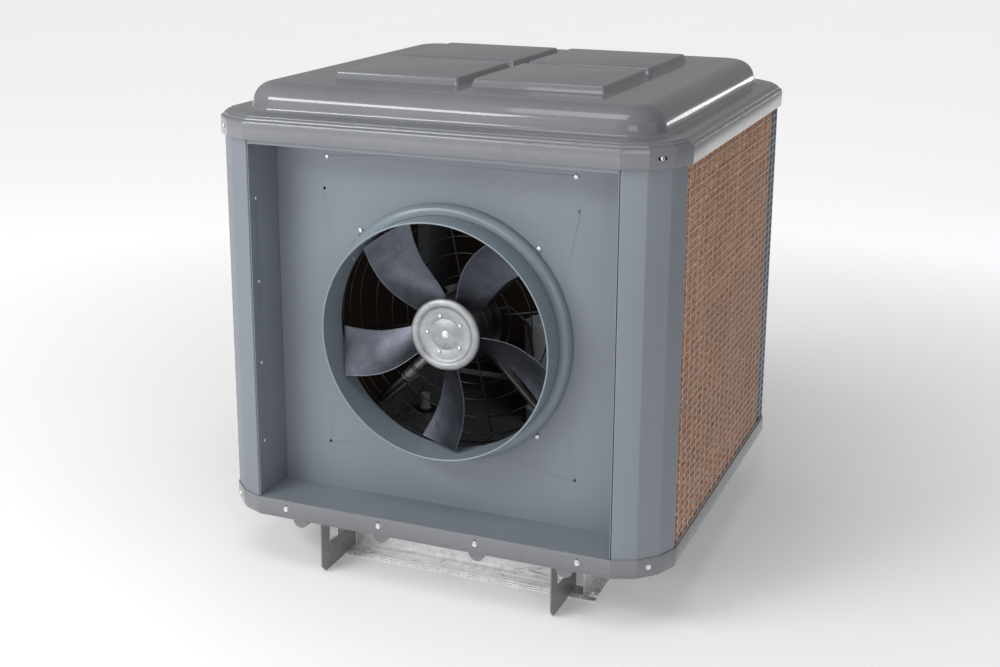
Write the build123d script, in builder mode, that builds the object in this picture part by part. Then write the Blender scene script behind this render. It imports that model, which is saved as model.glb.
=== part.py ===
"""Side-discharge evaporative cooler: tank, cabinet, fan, water system and support cradle.

Millimetres, +Z up. The origin is on the floor under the middle of the cradle. The air
outlet faces -Y, and wet pads fill the other three sides.
"""

import os
from math import cos, radians, sin, tan

from build123d import *

os.makedirs("parts", exist_ok=True)

# Plan outline: a square whose corners turn in four equal bends of 22.5 degrees
HALF = 575.0  # half width over the tank rim
BEND_START = 455.0  # where the flat side ends and the corner begins
TURN = 22.5

# Heights
STAND = 155.0  # underside of the rim above the floor
RIM_H = 40.0
RIM_TOP = STAND + RIM_H
CAP_Z = 1086.0  # underside of the roof cap's skirt
SKIRT_H = 45.0
DECK_Z = 1142.0
DOME_Z = 1206.0
PANEL_H = 19.0
POST_TOP = CAP_Z + SKIRT_H - 4.0
DECK_UNDER = DECK_Z - 4.0
LEDGE_Z = RIM_TOP - 2.0

# Tank
BASIN_INSET = 52.0
BASIN_Z = 125.0
WALL = 4.0
FLOOR_Z = BASIN_Z + WALL
LIP_Z = STAND - 8.0
LOBE_R = 20.0
LOBE_X = (-343.0, -125.0, 125.0, 343.0)
BOLT_X = (-377.0, -125.5, 125.5, 377.0)
BOLT_Z = 174.0
CORNER_TURNS = (0, 90, 180, 270)

# Cabinet
POST_INSET = 3.0
SHEET = 2.0
POST_SHEET = 2.5
NICHE_X = 453.0  # outer face of the outlet recess's side walls
FRONT_Y = -570.0
PANEL_Y = -442.0  # front face of the fan panel
PAD_END = 404.0
PAD_OUT = 566.0
PAD_T = 88.0
MESH_PITCH_Z = 19.7
MESH_PITCH_Y = 45.3
MESH_WIRE = 2.2

# Cable entry in the recess's right wall
GLAND_Y, GLAND_Z = -484.0, 290.0
GLAND_R = 10.0

# Fan
AXIS_Z = 635.0
RING_R = 287.0
RING_T = 2.5
RING_FRONT = -536.0
BLADES = 5
BLADE_TIP_R = 277.0
ROTOR_R = 78.0
SHAFT_R = 10.0
RUNNING = 0.05  # radial running clearance
HUB_R = 88.0
HUB_FRONT = -466.0
HUB_SCREW_R = 46.0
HUB_SCREW_START = 34.0
BLADE_START = 51.5
PANEL_SCREW = 227.0
DUCT_HOLE = 322.0
GUARD_Y = -320.0
GUARD_R = 300.0

# Cradle
STEEL = 3.0
BRACKET_X = 302.0
BRACKET_Y = 540.0
BEAM_WEB_Y = 360.0
BEAM_FRONT_Y = 422.0
BEAM_END_X = 370.0
RAIL_X = 335.0
RAIL_END_Y = 398.0
FLOOR_BOLT_X = 250.0

# Water system
PUMP_X, PUMP_Y = -40.0, 330.0
FLOAT_X, FLOAT_Y = 410.0, 60.0
FLOAT_PIVOT_Z = 208.0
FLOAT_LEVER = 18.0
FLOAT_ARM = 150.0
BALL_R = 25.0
BALL_Z = 188.0
DRAIN_X, DRAIN_Y = -410.0, 300.0
DRAIN_R = 14.0
PIPE_R = 10.0
PIPE_Z = 1096.0
PIPE_XY = 521.0


def outline(inset):
    """The plan outline's sixteen corners, moved inwards by inset."""
    side = HALF - inset
    start = BEND_START - inset * tan(radians(TURN / 2))
    facet = (side - start) / sum(cos(radians(k * TURN)) for k in (1, 2, 3))
    corner = [(start, -side)]
    for k in (1, 2, 3):
        x, y = corner[-1]
        corner.append((x + facet * cos(radians(k * TURN)), y + facet * sin(radians(k * TURN))))
    points = []
    for _ in range(4):
        points += corner
        corner = [(-y, x) for x, y in corner]
    return points


def plan(inset, z, hole=None):
    """A sketch of the plan outline at height z, with an optional inner outline cut out."""
    with BuildSketch(Plane.XY.offset(z)) as sketch:
        with BuildLine():
            Polyline(*outline(inset), close=True)
        make_face()
        if hole is not None:
            with BuildLine():
                Polyline(*outline(hole), close=True)
            make_face(mode=Mode.SUBTRACT)
    return sketch.sketch


def face_on(plane, points):
    """A polygon face on a plane."""
    with BuildSketch(plane) as sketch:
        with BuildLine():
            Polyline(*points, close=True)
        make_face()
    return sketch.sketch


def front_plane(y):
    """A plane facing the front at depth y, with local x along X and local y along Z."""
    return Plane(origin=(0, y, 0), x_dir=(1, 0, 0), z_dir=(0, -1, 0))


def facet_plane(inset, turn, z):
    """The plane of a corner's middle facet, facing outwards, turned about Z to each corner."""
    (ax, ay), (bx, by) = outline(inset)[1:3]
    middle = Vector((ax + bx) / 2, (ay + by) / 2, z)
    plane = Plane(origin=middle, x_dir=(1, 1, 0), z_dir=(1, -1, 0))
    return Plane(Location((0, 0, 0), (0, 0, turn)) * plane.location)


def facet_circle(inset, turn, z, radius):
    with BuildSketch(facet_plane(inset, turn, z)) as sketch:
        Circle(radius)
    return sketch.sketch


def polar(radius, degrees):
    return radius * cos(radians(degrees)), radius * sin(radians(degrees))


def save(part, name):
    part.label = name
    export_step(part, f"parts/{name}.step")


# ---------------------------------------------------------------- support cradle


def cradle_beam(side):
    """Cross beam: upright web, outward bottom flange and inward top flange."""
    web = side * BEAM_WEB_Y
    flange_mid = side * (BEAM_WEB_Y + BEAM_FRONT_Y) / 2
    with BuildPart() as beam:
        with Locations((0, web, BASIN_Z / 2)):
            Box(2 * (BRACKET_X - STEEL), STEEL, BASIN_Z)
        with Locations((0, flange_mid, STEEL / 2)):
            Box(2 * BEAM_END_X, BEAM_FRONT_Y - BEAM_WEB_Y, STEEL)
        with Locations((0, web - side * 16, BASIN_Z - STEEL / 2)):
            Box(2 * (BRACKET_X - STEEL), 30, STEEL)
        with BuildSketch(Plane.XY):
            with Locations((0, flange_mid)):
                with GridLocations(2 * (BEAM_END_X - 15), 1, 2, 1):
                    Circle(4.5)
                with GridLocations(2 * FLOOR_BOLT_X, 1, 2, 1):
                    Circle(5.5)
                with GridLocations(75, 1, 6, 1):
                    SlotOverall(16, 6)
        extrude(amount=STEEL, mode=Mode.SUBTRACT)
        with BuildSketch(front_plane(web - 5)):
            with Locations((0, 52)):
                with GridLocations(150, 1, 4, 1):
                    Circle(4.0)
        extrude(amount=-10, mode=Mode.SUBTRACT)
    return beam.part


def cradle_rail(side):
    """Side rail that joins the two beams, with its flange on top of the beam flanges."""
    with BuildPart() as rail:
        with Locations((side * RAIL_X, 0, (STEEL + BASIN_Z) / 2)):
            Box(STEEL, 2 * RAIL_END_Y, BASIN_Z - STEEL)
        with Locations((side * (RAIL_X + BEAM_END_X) / 2, 0, 1.5 * STEEL)):
            Box(BEAM_END_X - RAIL_X, 2 * RAIL_END_Y, STEEL)
        with Locations((side * (RAIL_X - 14), 0, BASIN_Z - STEEL / 2)):
            Box(30, 2 * BEAM_WEB_Y - 120, STEEL)
        with BuildSketch(Plane.XY.offset(STEEL)):
            with Locations((side * (BEAM_END_X - 15), 0)):
                with GridLocations(1, BEAM_WEB_Y + BEAM_FRONT_Y, 1, 2):
                    Circle(4.5)
        extrude(amount=STEEL, mode=Mode.SUBTRACT)
    return rail.part


def bracket(side_x, side_y):
    """Upright plate under the rim: front strip, bottom rail and a window between them."""
    chamfer = 18.0
    tab = BRACKET_Y - 526.0
    points = [
        (BRACKET_Y, chamfer),
        (BRACKET_Y - chamfer, 0),
        (BEAM_FRONT_Y + 2, 0),
        (BEAM_FRONT_Y + 2, STEEL),
        (BEAM_WEB_Y + 2, STEEL),
        (BEAM_WEB_Y + 2, BASIN_Z),
        (BRACKET_Y - tab, BASIN_Z),
        (BRACKET_Y - tab, LIP_Z + 16),
        (BRACKET_Y, LIP_Z + 16),
    ]
    window = [(395, 60), (498, 66), (498, 106), (395, 106)]
    plane = Plane(origin=(side_x * BRACKET_X, 0, 0), x_dir=(0, side_y, 0), z_dir=(side_y, 0, 0))
    with BuildPart() as plate:
        extrude(face_on(plane, points), amount=STEEL / 2, both=True)
        extrude(face_on(plane, window), amount=STEEL, both=True, mode=Mode.SUBTRACT)
    return plate.part


for name, side in (("front", -1), ("rear", 1)):
    save(cradle_beam(side), f"cradle_{name}_beam")
for name, side in (("left", -1), ("right", 1)):
    save(cradle_rail(side), f"cradle_{name}_rail")
for end, side_y in (("front", -1), ("rear", 1)):
    for name, side_x in (("left", -1), ("right", 1)):
        save(bracket(side_x, side_y), f"bracket_{end}_{name}")

# ---------------------------------------------------------------- tank

with BuildPart() as base_tank:
    extrude(plan(0, STAND), amount=LEDGE_Z - STAND)
    extrude(plan(0, LEDGE_Z, POST_INSET - 0.4), amount=RIM_TOP - LEDGE_Z)
    extrude(plan(BASIN_INSET, BASIN_Z), amount=STAND - BASIN_Z)
    extrude(plan(4, LIP_Z, 9), amount=STAND - LIP_Z)
    extrude(plan(BASIN_INSET + WALL, FLOOR_Z), amount=RIM_H + STAND, mode=Mode.SUBTRACT)
    extrude(plan(9, STAND, BASIN_INSET), amount=RIM_H - 7, mode=Mode.SUBTRACT)
    for lobe_front in (9 - HALF, HALF - BASIN_INSET):
        with BuildSketch(front_plane(lobe_front)):
            with Locations(*[(x, LIP_Z) for x in LOBE_X]):
                Circle(LOBE_R)
                Rectangle(2 * LOBE_R, RIM_H, align=(Align.CENTER, Align.MIN))
        extrude(amount=9 - BASIN_INSET)
    for y in (-HALF, HALF):
        with Locations(*[(x, y, BOLT_Z) for x in BOLT_X]):
            Cylinder(3.2, 20, rotation=(90, 0, 0), mode=Mode.SUBTRACT)
    for turn in CORNER_TURNS:
        extrude(facet_circle(0, turn, BOLT_Z, 3.2), amount=-10, mode=Mode.SUBTRACT)
    with BuildSketch(Plane.XY.offset(BASIN_Z)):
        with Locations((DRAIN_X, DRAIN_Y)):
            Circle(22)
        with Locations((FLOAT_X, FLOAT_Y)):
            Circle(10.6)
    extrude(amount=WALL, mode=Mode.SUBTRACT)
save(base_tank.part, "base_tank")


# ---------------------------------------------------------------- corner posts

RETURN = 40.0
STRIP_STEP = 12.0
STRIP_W = 50.0


def post(rear):
    """One folded sheet corner post at -X, -Y or, mirrored, at the other corners.

    Three outer facets, with a return flange at each end. A rear post's returns step
    inwards and run along behind the pads' mesh as a closing strip.
    """
    outer = outline(POST_INSET)[:4]
    inner = outline(POST_INSET + POST_SHEET)[:4]
    near, edge = outer[3]
    if rear:
        strip = near - STRIP_STEP
        reach = [(strip, edge), (strip, edge + STRIP_W)]
        back = [(strip - POST_SHEET, edge + STRIP_W), (strip - POST_SHEET, edge - POST_SHEET)]
    else:
        reach = [(near - RETURN, edge)]
        back = [(near - RETURN, edge - POST_SHEET)]
    tail = [(near, edge)] + reach + back + [(near - POST_SHEET, edge - POST_SHEET)]
    head = [(-y, -x) for x, y in tail[::-1]]
    points = head + outer[1:3] + tail + inner[2:0:-1]
    with BuildPart() as folded:
        extrude(face_on(Plane.XY.offset(LEDGE_Z), points), amount=POST_TOP - LEDGE_Z)
    return folded.part


front_right = post(rear=False)
rear_front_right = post(rear=True)
save(front_right, "corner_post_front_right")
save(mirror(front_right, about=Plane.YZ), "corner_post_front_left")
save(mirror(rear_front_right, about=Plane.XZ), "corner_post_rear_right")
save(rear_front_right.rotate(Axis.Z, 180), "corner_post_rear_left")

# ---------------------------------------------------------------- outlet recess and fan panel

with BuildPart() as recess_floor:
    with Locations((0, (FRONT_Y + PANEL_Y) / 2, LEDGE_Z + SHEET / 2)):
        Box(2 * (NICHE_X - SHEET), PANEL_Y - FRONT_Y, SHEET)
    with Locations((0, PANEL_Y - SHEET / 2, LEDGE_Z + 8)):
        Box(2 * (NICHE_X - SHEET), SHEET, 16)
save(recess_floor.part, "recess_floor")

with BuildPart() as recess_ceiling:
    with Locations((0, (FRONT_Y + PANEL_Y) / 2, CAP_Z - SHEET / 2)):
        Box(2 * (NICHE_X - SHEET), PANEL_Y - FRONT_Y, SHEET)
    with Locations((0, FRONT_Y + SHEET / 2, CAP_Z - 5)):
        Box(2 * (NICHE_X - SHEET), SHEET, 10)
save(recess_ceiling.part, "recess_ceiling")

WALL_SCREW_Y = -542.0
WALL_SCREW_Z = (332.0, 533.0, 737.0, 941.0)


def recess_wall(side):
    """Side wall of the outlet recess, screwed to the corner post's flange."""
    with BuildPart() as wall:
        with Locations((side * (NICHE_X - SHEET / 2), (FRONT_Y + PANEL_Y) / 2, (LEDGE_Z + CAP_Z) / 2)):
            Box(SHEET, PANEL_Y - FRONT_Y, CAP_Z - LEDGE_Z)
        with Locations(*[(side * NICHE_X, WALL_SCREW_Y, z) for z in WALL_SCREW_Z]):
            Cylinder(2.1, 12, rotation=(0, 90, 0), mode=Mode.SUBTRACT)
        if side > 0:
            with Locations((side * NICHE_X, GLAND_Y, GLAND_Z)):
                Cylinder(GLAND_R, 12, rotation=(0, 90, 0), mode=Mode.SUBTRACT)
    return wall.part


save(recess_wall(-1), "recess_left_wall")
save(recess_wall(1), "recess_right_wall")

PANEL_LOW = LEDGE_Z + 2 * SHEET
PANEL_HIGH = CAP_Z - SHEET
TOP_SCREW = (313.0, 1035.0)
with BuildPart() as fan_panel:
    with BuildSketch(front_plane(PANEL_Y + SHEET)):
        with Locations((0, (PANEL_LOW + PANEL_HIGH) / 2)):
            Rectangle(2 * (NICHE_X - SHEET), PANEL_HIGH - PANEL_LOW)
        with Locations((0, AXIS_Z)):
            Circle(RING_R, mode=Mode.SUBTRACT)
            with GridLocations(2 * PANEL_SCREW, 2 * PANEL_SCREW, 2, 2):
                Circle(2.6, mode=Mode.SUBTRACT)
            with GridLocations(2 * DUCT_HOLE, 2 * DUCT_HOLE, 2, 2):
                Circle(3.5, mode=Mode.SUBTRACT)
        with Locations(*[(x, TOP_SCREW[1]) for x in (-TOP_SCREW[0], TOP_SCREW[0])]):
            Circle(2.6, mode=Mode.SUBTRACT)
    extrude(amount=SHEET)
save(fan_panel.part, "fan_panel")

# ---------------------------------------------------------------- roof cap


def dome(half, z, height, radius):
    """A rounded, drafted dome: a builder's solid on the deck."""
    with BuildPart() as solid:
        with BuildSketch(Plane.XY.offset(z)):
            RectangleRounded(2 * half, 2 * half, 95)
        extrude(amount=height, taper=8)
        fillet(solid.faces().sort_by(Axis.Z)[-1].edges(), radius)
    return solid.part


PANEL_IN, PANEL_OUT = 14.0, 345.0
CAP_SCREW_Z = 1109.0
with BuildPart() as roof_cap:
    extrude(plan(-6, CAP_Z), amount=SKIRT_H)
    extrude(plan(2, CAP_Z + SKIRT_H), amount=DECK_Z - CAP_Z - SKIRT_H)
    add(dome(512, DECK_Z, DOME_Z - DECK_Z, 50))
    with BuildSketch(Plane.XY.offset(DOME_Z)):
        with GridLocations(PANEL_IN + PANEL_OUT, PANEL_IN + PANEL_OUT, 2, 2):
            RectangleRounded(PANEL_OUT - PANEL_IN, PANEL_OUT - PANEL_IN, 12)
    extrude(amount=PANEL_H, taper=20)
    extrude(plan(-2, CAP_Z), amount=SKIRT_H - WALL, mode=Mode.SUBTRACT)
    extrude(plan(6, CAP_Z + SKIRT_H - WALL), amount=DECK_Z - CAP_Z - SKIRT_H, mode=Mode.SUBTRACT)
    add(dome(508, DECK_UNDER, DOME_Z - DECK_Z, 46), mode=Mode.SUBTRACT)
    with BuildSketch(Plane.XY.offset(DOME_Z - 2 * WALL)):
        with GridLocations(PANEL_IN + PANEL_OUT, PANEL_IN + PANEL_OUT, 2, 2):
            RectangleRounded(PANEL_OUT - PANEL_IN - 2 * WALL, PANEL_OUT - PANEL_IN - 2 * WALL, 8)
    extrude(amount=PANEL_H + WALL, taper=16, mode=Mode.SUBTRACT)
    for turn in CORNER_TURNS:
        extrude(facet_circle(-6, turn, CAP_SCREW_Z, 2.1), amount=-10, mode=Mode.SUBTRACT)
save(roof_cap.part, "roof_cap")

# ---------------------------------------------------------------- fasteners


def screw_head(plane, head_r, head_h, shank_r, shank):
    """A domed screw: its head stands on the plane and its shank goes back through it."""
    with BuildPart() as screw:
        with BuildSketch(plane):
            Circle(head_r)
        extrude(amount=head_h)
        fillet(screw.edges().filter_by(GeomType.CIRCLE).sort_by(plane_depth(plane))[-1:], head_h * 0.6)
        with BuildSketch(plane):
            Circle(shank_r)
        extrude(amount=-shank)
    return screw.part


def plane_depth(plane):
    return lambda edge: (edge.center() - plane.origin).dot(plane.z_dir)


def screws(planes, head_r, head_h, shank_r, shank, name):
    """A group of identical fasteners in one node."""
    save(Compound(children=[screw_head(p, head_r, head_h, shank_r, shank) for p in planes]), name)


def at(x, y, z, facing):
    return Plane(origin=(x, y, z), z_dir=facing)


screws(
    [at(x, y, BOLT_Z, (0, y, 0)) for y in (-HALF, HALF) for x in BOLT_X]
    + [facet_plane(0, turn, BOLT_Z) for turn in CORNER_TURNS],
    6.5, 4.5, 3.0, 7, "rim_bolts",
)
screws([facet_plane(-6, turn, CAP_SCREW_Z) for turn in CORNER_TURNS], 5.0, 3.0, 2.0, 7, "cap_screws")
screws(
    [at(side * (NICHE_X - SHEET), WALL_SCREW_Y, z, (-side, 0, 0)) for side in (-1, 1) for z in WALL_SCREW_Z],
    4.5, 2.6, 2.0, 3.3, "recess_wall_screws",
)
screws(
    [
        at(x, PANEL_Y, AXIS_Z + z, (0, -1, 0))
        for x in (-PANEL_SCREW, PANEL_SCREW)
        for z in (-PANEL_SCREW, PANEL_SCREW)
    ]
    + [at(x, PANEL_Y, TOP_SCREW[1], (0, -1, 0)) for x in (-TOP_SCREW[0], TOP_SCREW[0])],
    6.0, 3.5, 2.5, 8, "fan_panel_screws",
)

# ---------------------------------------------------------------- wet pads, mesh and trays


def side_location(turn):
    """Turns a piece drawn on the +X side to its own side of the cabinet."""
    return Location((0, 0, 0), (0, 0, turn))


TRAY_Z = LEDGE_Z + 1.5
PAD_LOW = TRAY_Z + 0.5
PAD_HIGH = 1080.0
MESH_LOW = LEDGE_Z + 3.0
MESH_HIGH = CAP_Z - 1.0
MESH_X = POST_INSET + MESH_WIRE / 2
PAD_SIDES = (("right", 0, -450.0), ("rear", 90, -PAD_END), ("left", 180, -PAD_END))
MESH_HALF = 452.0
for name, turn, start in PAD_SIDES:
    finish = 450.0 if name == "left" else PAD_END
    mid = (start + finish) / 2
    with BuildPart() as pad:
        with Locations((PAD_OUT - PAD_T / 2, mid, (PAD_LOW + PAD_HIGH) / 2)):
            Box(PAD_T, finish - start, PAD_HIGH - PAD_LOW)
    save(side_location(turn) * pad.part, f"wet_pad_{name}")
    with BuildPart() as tray:
        with Locations((PAD_OUT - PAD_T / 2, mid, LEDGE_Z + 0.75)):
            Box(PAD_T + 3, finish - start, 1.5)
        with Locations((PAD_OUT - PAD_T - 0.75, mid, LEDGE_Z + 8)):
            Box(1.5, finish - start, 16)
    save(side_location(turn) * tray.part, f"pad_tray_{name}")
    rows = int((MESH_HIGH - MESH_LOW) / MESH_PITCH_Z) + 1
    columns = int(2 * MESH_HALF / MESH_PITCH_Y) + 1
    with BuildPart() as uprights:
        with GridLocations(1, MESH_PITCH_Y, 1, columns):
            with Locations((HALF - MESH_X - MESH_WIRE, 0, (MESH_LOW + MESH_HIGH) / 2)):
                Cylinder(MESH_WIRE / 2, MESH_HIGH - MESH_LOW)
    with BuildPart() as lines:
        with Locations((HALF - MESH_X, 0, (MESH_LOW + MESH_HIGH) / 2)):
            with Locations(*[(0, 0, (k - (rows - 1) / 2) * MESH_PITCH_Z) for k in range(rows)]):
                Cylinder(MESH_WIRE / 2, 2 * MESH_HALF, rotation=(90, 0, 0))
    mesh = Compound(children=uprights.solids() + lines.solids())
    save(side_location(turn) * mesh, f"pad_mesh_{name}")

# ---------------------------------------------------------------- fan

FAN_AXIS = Axis((0, 0, AXIS_Z), (0, 1, 0))
SECTION = Plane(origin=(0, 0, AXIS_Z), x_dir=(1, 0, 0), z_dir=(0, 0, 1))


def fan_plane(y):
    """A plane across the fan axis at depth y, facing the front."""
    return Plane(origin=(0, y, AXIS_Z), x_dir=(1, 0, 0), z_dir=(0, -1, 0))


with BuildPart() as outlet_ring:
    with BuildSketch(SECTION):
        with BuildLine():
            Polyline(
                (RING_R, -460), (RING_R, RING_FRONT + 2.5), (RING_R - RING_T, RING_FRONT + 2.5),
                (RING_R - RING_T, PANEL_Y + SHEET), (RING_R, PANEL_Y + SHEET), (RING_R, PANEL_Y),
                (RING_R + 26, PANEL_Y), (RING_R + 26, PANEL_Y - 2), (RING_R + 16, PANEL_Y - 2),
            )
            RadiusArc((RING_R + 16, PANEL_Y - 2), (RING_R, -460), -16)
        make_face()
        with Locations((RING_R - 2.5, RING_FRONT + 2.5)):
            Circle(2.5)
    revolve(axis=FAN_AXIS)
save(outlet_ring.part, "outlet_ring")

# Rivet heads just inside the ring; outside, the rivets are flush
with BuildPart() as rivet:
    with Locations((RING_R - RING_T - 0.63, -468, AXIS_Z)):
        Cylinder(3.5, 1.2, rotation=(0, 90, 0))
rivets = [rivet.part.rotate(FAN_AXIS, angle) for angle in (35, 145, 215, 325)]
save(Compound(children=rivets), "outlet_ring_rivets")

WIRE_R = 2.0
with BuildPart() as inlet_guard:
    with BuildLine(Plane.XY.offset(AXIS_Z)) as rod_line:
        FilletPolyline(
            (50, GUARD_Y + 3), (GUARD_R + 2, GUARD_Y + 3), (GUARD_R + 2, PANEL_Y + SHEET), radius=14,
        )
    with BuildSketch(Plane(origin=(50, GUARD_Y + 3, AXIS_Z), z_dir=(1, 0, 0))):
        Circle(WIRE_R)
    sweep()
rod = inlet_guard.part
with BuildPart() as inlet_guard:
    for k in range(8):
        add(rod.rotate(FAN_AXIS, -12 + 45 * k))
    with Locations(Location((0, GUARD_Y, AXIS_Z), (90, 0, 0))):
        for radius in (52, 110, 165, 207, 252, 296):
            Torus(radius, WIRE_R)
    for depth in (-370, -405):
        with Locations(Location((0, depth, AXIS_Z), (90, 0, 0))):
            Torus(GUARD_R - 1, WIRE_R)
save(inlet_guard.part, "inlet_guard")

PLATE_Y = -338.0
STRUT_R = 10.0
LEG_R = 9.0
LEG_REACH = PANEL_SCREW * 2**0.5
with BuildPart() as motor_bracket:
    with BuildSketch(fan_plane(PLATE_Y)):
        Circle(95)
        Circle(20, mode=Mode.SUBTRACT)
    extrude(amount=-4)
    with BuildPart(mode=Mode.PRIVATE) as strut:
        with Locations(((82 + LEG_REACH) / 2, PLATE_Y - STRUT_R + 1, AXIS_Z)):
            Cylinder(STRUT_R, LEG_REACH - 82, rotation=(0, 90, 0))
        with Locations((LEG_REACH, (PLATE_Y + PANEL_Y + SHEET) / 2, AXIS_Z)):
            Cylinder(LEG_R, PLATE_Y - PANEL_Y - SHEET, rotation=(90, 0, 0))
        with Locations((LEG_REACH, PANEL_Y + SHEET, AXIS_Z)):
            Cylinder(2.6, 20, rotation=(90, 0, 0), mode=Mode.SUBTRACT)
    for angle in (45, 135, 225, 315):
        add(strut.part.rotate(FAN_AXIS, angle))
save(motor_bracket.part, "motor_bracket")

STATOR_Y = PLATE_Y - 8.0
ROTOR_BACK, ROTOR_FRONT = -352.0, -455.0
with BuildPart() as motor_stator:
    for radius, front, back in (
        (74, STATOR_Y, PLATE_Y),
        (55, -438, STATOR_Y),
        (SHAFT_R, -452, -438),
        (8, PLATE_Y, -320),
    ):
        with BuildSketch(fan_plane(back)):
            Circle(radius)
        extrude(amount=back - front)
save(motor_stator.part, "motor_stator")

with BuildPart() as motor_rotor:
    with BuildSketch(fan_plane(ROTOR_BACK)):
        Circle(ROTOR_R)
    extrude(amount=ROTOR_BACK - ROTOR_FRONT)
    with BuildSketch(fan_plane(ROTOR_BACK)):
        Circle(64)
    extrude(amount=ROTOR_BACK + 443, mode=Mode.SUBTRACT)
    with BuildSketch(fan_plane(ROTOR_FRONT)):
        Circle(SHAFT_R + RUNNING)
        with PolarLocations(HUB_SCREW_R, BLADES, start_angle=HUB_SCREW_START):
            Circle(2.6)
    extrude(amount=-12, mode=Mode.SUBTRACT)
save(motor_rotor.part, "motor_rotor")

HUB_DISC_Y = -458.5
with BuildPart() as hub_cover:
    with BuildSketch(SECTION):
        with BuildLine():
            Polyline(
                (0, HUB_DISC_Y), (0, ROTOR_FRONT), (HUB_R - 2, ROTOR_FRONT), (HUB_R, -457), (HUB_R, -459),
            )
            ThreePointArc((HUB_R, -459), (HUB_R - 2.5, -464.5), (HUB_R - 9, HUB_FRONT))
            Polyline((HUB_R - 9, HUB_FRONT), (HUB_R - 16, -465), (HUB_R - 22, HUB_DISC_Y), (0, HUB_DISC_Y))
        make_face()
    revolve(axis=FAN_AXIS)
    with BuildSketch(fan_plane(ROTOR_FRONT)):
        Circle(4.2)
        with PolarLocations(HUB_SCREW_R, BLADES, start_angle=HUB_SCREW_START):
            Circle(2.6)
    extrude(amount=6, mode=Mode.SUBTRACT)
save(hub_cover.part, "hub_cover")

hub_planes = []
for k in range(BLADES):
    x, z = polar(HUB_SCREW_R, HUB_SCREW_START + 360 / BLADES * k)
    hub_planes.append(at(x, HUB_DISC_Y, AXIS_Z + z, (0, -1, 0)))
screws(hub_planes, 4.5, 4.0, 2.4, 10, "hub_screws")
screws([at(0, HUB_DISC_Y, AXIS_Z, (0, -1, 0))], 9.0, 6.0, 4.0, 3.5, "hub_centre_cap")

# A blade's stations: radius, lead angle, chord, pitch angle, depth of the mid chord, camber
STATIONS = (
    (66, 3, 72, 48, -424, 5),
    (130, 6, 95, 40, -434, 7),
    (180, 6, 108, 34, -446, 8),
    (230, 3, 118, 29, -457, 8),
    (285, -1, 126, 26, -467, 8),
)
EDGE_T, MID_T = 1.2, 2.2


def blade_section(radius, lead, chord, pitch, depth, camber):
    """Cambered section across a blade that points along +X, hollow side to the front."""
    along = Vector(cos(radians(pitch)), sin(radians(pitch)))
    across = Vector(-sin(radians(pitch)), cos(radians(pitch)))
    middle = Vector(radius * sin(radians(lead)), -depth)
    back, front = middle - along * (chord / 2), middle + along * (chord / 2)
    belly = middle - across * camber
    with BuildSketch(Plane(origin=(radius, 0, 0), x_dir=(0, 0, 1), z_dir=(1, 0, 0))) as section:
        with BuildLine():
            ThreePointArc(back + across * EDGE_T, belly + across * MID_T, front + across * EDGE_T)
            Line(front + across * EDGE_T, front - across * EDGE_T)
            ThreePointArc(front - across * EDGE_T, belly - across * MID_T, back - across * EDGE_T)
            Line(back - across * EDGE_T, back + across * EDGE_T)
        make_face()
    return section.sketch


with BuildPart() as blade:
    loft([blade_section(*station).face() for station in STATIONS])
    with Locations((0, -430, 0)):
        Cylinder(BLADE_TIP_R, 300, rotation=(90, 0, 0), mode=Mode.INTERSECT)
        Cylinder(ROTOR_R, 320, rotation=(90, 0, 0), mode=Mode.SUBTRACT)
for k in range(BLADES):
    angle = BLADE_START + 360 / BLADES * k
    turned = blade.part.rotate(Axis((0, 0, 0), (0, -1, 0)), angle)
    save(Pos(0, 0, AXIS_Z) * turned, f"fan_blade_{k + 1}")

# ---------------------------------------------------------------- wiring

BOX_X, BOX_Y, BOX_Z = 483.0, -484.0, 340.0
BOX_W, BOX_D, BOX_H = 60.0, 60.0, 200.0
CABLE_R = 4.5
CABLE_X, CABLE_Z = 465.0, 300.0
with BuildPart() as control_box:
    with Locations((BOX_X, BOX_Y, BOX_Z)):
        Box(BOX_W, BOX_D, BOX_H)
        fillet(control_box.edges().filter_by(Axis.Z), 5)
        Box(BOX_W - 5, BOX_D - 5, BOX_H - 5, mode=Mode.SUBTRACT)
    with Locations((BOX_X - BOX_W / 2, GLAND_Y, GLAND_Z)):
        Cylinder(GLAND_R, 12, rotation=(0, 90, 0), mode=Mode.SUBTRACT)
    with Locations((CABLE_X, BOX_Y + BOX_D / 2, CABLE_Z)):
        Cylinder(CABLE_R, 12, rotation=(90, 0, 0), mode=Mode.SUBTRACT)
save(control_box.part, "control_box")

# A round-headed cable gland: head in the recess, threaded neck through the wall into the box
with BuildPart() as cable_gland:
    with BuildSketch(Plane(origin=(NICHE_X - SHEET, GLAND_Y, GLAND_Z), z_dir=(-1, 0, 0))):
        RegularPolygon(13, 6)
    extrude(amount=7)
    with BuildSketch(Plane(origin=(NICHE_X - SHEET - 7, GLAND_Y, GLAND_Z), z_dir=(-1, 0, 0))):
        Circle(9.5)
    extrude(amount=5)
    with BuildSketch(Plane(origin=(NICHE_X - SHEET, GLAND_Y, GLAND_Z), z_dir=(1, 0, 0))):
        Circle(GLAND_R - 0.1)
    extrude(amount=12)
    with Locations((NICHE_X, GLAND_Y, GLAND_Z)):
        Cylinder(CABLE_R, 60, rotation=(0, 90, 0), mode=Mode.SUBTRACT)
save(cable_gland.part, "cable_gland")

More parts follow.
